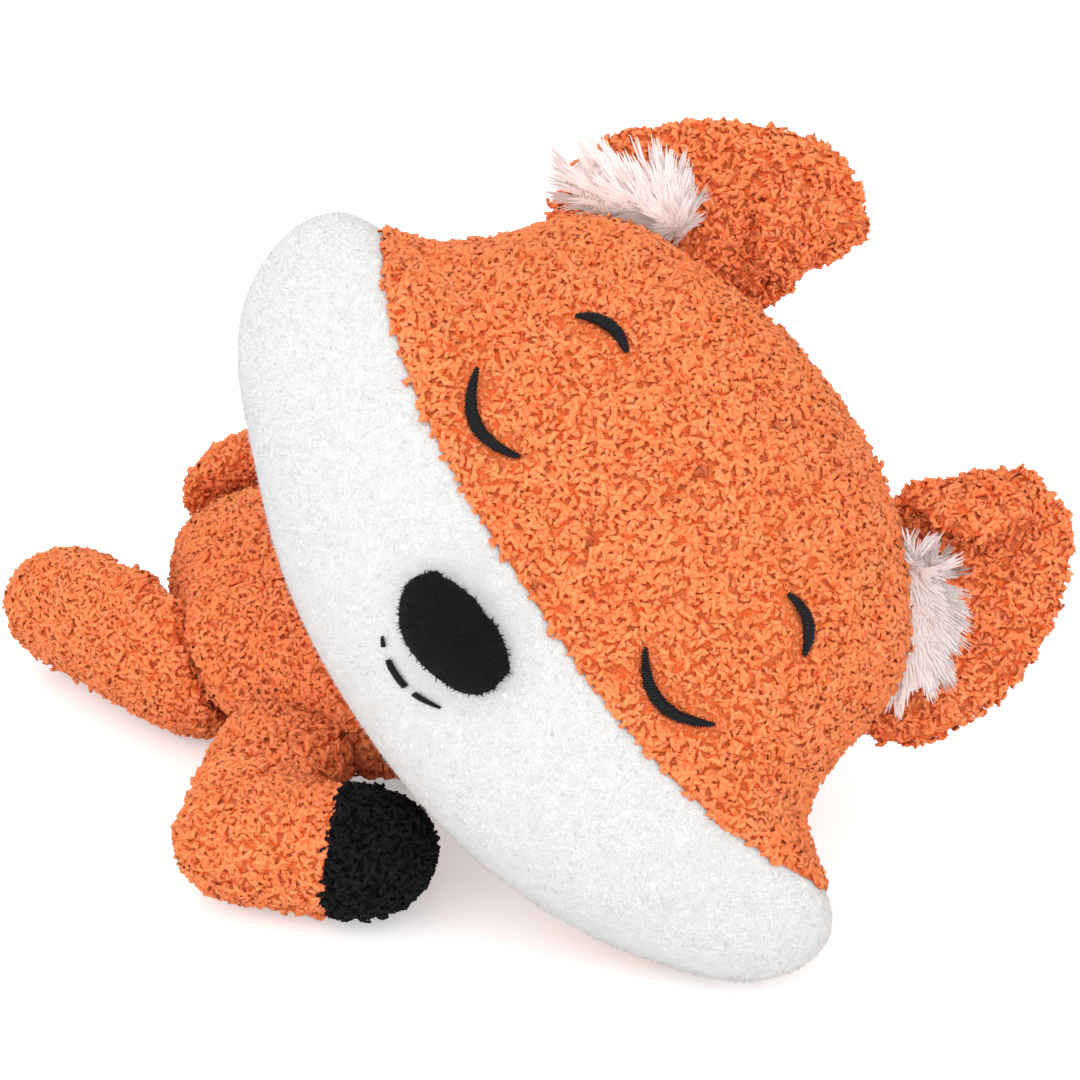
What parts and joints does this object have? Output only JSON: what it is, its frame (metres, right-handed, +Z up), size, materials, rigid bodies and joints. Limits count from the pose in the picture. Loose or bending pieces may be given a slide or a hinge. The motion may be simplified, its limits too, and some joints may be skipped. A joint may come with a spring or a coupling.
{
  "type": "plush fox",
  "caption": "Sleeping plush fox lying on its belly, with a large wide head rolled onto one cheek, bent front legs and a curled tail.",
  "frame": {"origin": "middle of the toy's outer box, on the surface that it lies on", "axes": "+Z up; +Y towards the rump, so the face looks along -Y; +X towards the toy's left side"},
  "size_m": [0.2538, 0.3336, 0.2217],
  "materials": {
    "orange_boucle": "curly boucle",
    "white_plush": "short soft pile",
    "black_boucle": "curly boucle",
    "black_velboa": "short smooth pile",
    "black_thread": "satin stitch",
    "long_pile": "long soft pile",
    "fibre_fill": "loose fibre"
  },
  "bodies": {
    "torso": {"torso_back_cover": "orange_boucle", "torso_belly_cover": "orange_boucle", "torso_filling": "fibre_fill"},
    "neck": {"neck_cover": "orange_boucle", "neck_filling": "fibre_fill"},
    "head": {"head_face_cover": "orange_boucle", "head_muzzle_cover": "white_plush", "head_back_cover": "orange_boucle", "head_filling": "fibre_fill", "nose_cover": "black_velboa", "nose_padding": "fibre_fill", "mouth_stitch": "black_thread", "eye_stitch_left": "black_thread", "eye_stitch_right": "black_thread", "brow_stitch_left": "black_thread", "brow_stitch_right": "black_thread"},
    "ear_left": {"ear_left_front_panel": "orange_boucle", "ear_left_back_panel": "orange_boucle", "ear_left_tuft": "long_pile"},
    "ear_right": {"ear_right_front_panel": "orange_boucle", "ear_right_back_panel": "orange_boucle", "ear_right_tuft": "long_pile"},
    "front_leg_left": {"front_leg_left_cover": "orange_boucle", "front_paw_left_cover": "black_boucle", "front_leg_left_filling": "fibre_fill"},
    "front_leg_right": {"front_leg_right_cover": "orange_boucle", "front_paw_right_cover": "black_boucle", "front_leg_right_filling": "fibre_fill"},
    "hind_leg_left": {"hind_leg_left_cover": "orange_boucle", "hind_leg_left_filling": "fibre_fill"},
    "hind_leg_right": {"hind_leg_right_cover": "orange_boucle", "hind_leg_right_filling": "fibre_fill"},
    "tail": {"tail_cover": "orange_boucle", "tail_filling": "fibre_fill"}
  },
  "joints": [
    {"name": "neck_turn", "type": "hinge", "parent": "torso", "child": "neck", "pos_m": [-0.01971, -0.01017, 0.065], "axis": [-0.4925, -0.7028, 0.5133], "range_deg": [-4, 20], "stiffness_Nm_per_rad": 2},
    {"name": "head_nod", "type": "hinge", "parent": "neck", "child": "head", "pos_m": [-0.01971, -0.01017, 0.065], "axis": [0.2279, -0.6734, -0.7033], "range_deg": [-12, 3], "stiffness_Nm_per_rad": 2},
    {"name": "ear_left_flop", "type": "hinge", "parent": "head", "child": "ear_left", "pos_m": [0.08135, -0.09951, 0.12159], "axis": [-0.2632, -0.4419, -0.8576], "range_deg": [-15, 15], "stiffness_Nm_per_rad": 0.06},
    {"name": "ear_right_flop", "type": "hinge", "parent": "head", "child": "ear_right", "pos_m": [0.06586, -0.05372, 0.16942], "axis": [0.6464, -0.6903, -0.325], "range_deg": [-15, 15], "stiffness_Nm_per_rad": 0.06},
    {"name": "front_leg_left_swing", "type": "hinge", "parent": "torso", "child": "front_leg_left", "pos_m": [0.02229, 0.01783, 0.0225], "axis": [0, 0, 1], "range_deg": [-5, 20], "stiffness_Nm_per_rad": 0.3},
    {"name": "front_leg_right_swing", "type": "hinge", "parent": "torso", "child": "front_leg_right", "pos_m": [-0.06971, 0.01783, 0.0225], "axis": [0, 0, 1], "range_deg": [-20, 5], "stiffness_Nm_per_rad": 0.3},
    {"name": "hind_leg_left_swing", "type": "hinge", "parent": "torso", "child": "hind_leg_left", "pos_m": [0.02329, 0.07583, 0.027], "axis": [0, 0, 1], "range_deg": [-15, 15], "stiffness_Nm_per_rad": 0.3},
    {"name": "hind_leg_right_swing", "type": "hinge", "parent": "torso", "child": "hind_leg_right", "pos_m": [-0.07071, 0.07583, 0.027], "axis": [0, 0, 1], "range_deg": [-15, 15], "stiffness_Nm_per_rad": 0.3},
    {"name": "tail_lift", "type": "hinge", "parent": "torso", "child": "tail", "pos_m": [-0.02371, 0.13383, 0.043], "axis": [1, 0, 0], "range_deg": [-10, 30], "stiffness_Nm_per_rad": 0.1}
  ]
}
